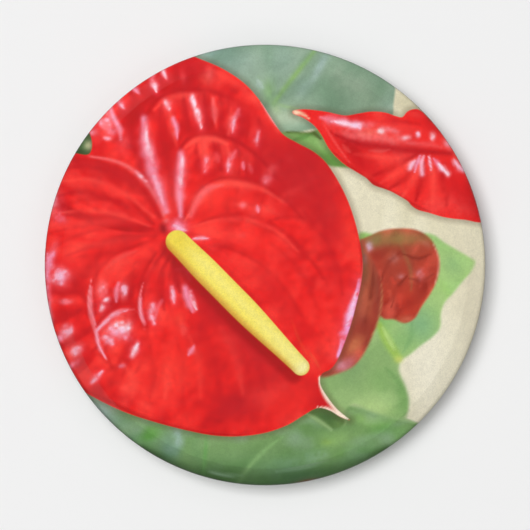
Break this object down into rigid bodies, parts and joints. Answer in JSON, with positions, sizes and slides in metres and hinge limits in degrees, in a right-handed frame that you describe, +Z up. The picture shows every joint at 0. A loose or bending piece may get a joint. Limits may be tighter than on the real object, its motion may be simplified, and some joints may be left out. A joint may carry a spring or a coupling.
{
  "type": "printed fridge magnet",
  "caption": "Round button-type fridge magnet: a domed tinplate shell wrapped in a printed picture and clear film, with a stamped back plate and a ferrite disc magnet.",
  "frame": {"origin": "centre of the disc magnet's back face, where it meets the steel door", "axes": "+Y into the door along the button's axis, so the face looks along -Y; +Z up, with the picture upright; +X to the right as the face is seen"},
  "size_m": [0.0572, 0.0082, 0.0572],
  "materials": {
    "film": "gloss",
    "print": "satin",
    "tinplate": "satin",
    "plate": "satin",
    "foam": "matte",
    "ferrite": "matte"
  },
  "bodies": {
    "root": {"clear_film": "film", "printed_disc": "print", "front_shell": "tinplate", "back_plate": "plate", "adhesive_pad": "foam", "magnet_disc": "ferrite"}
  },
  "joints": []
}
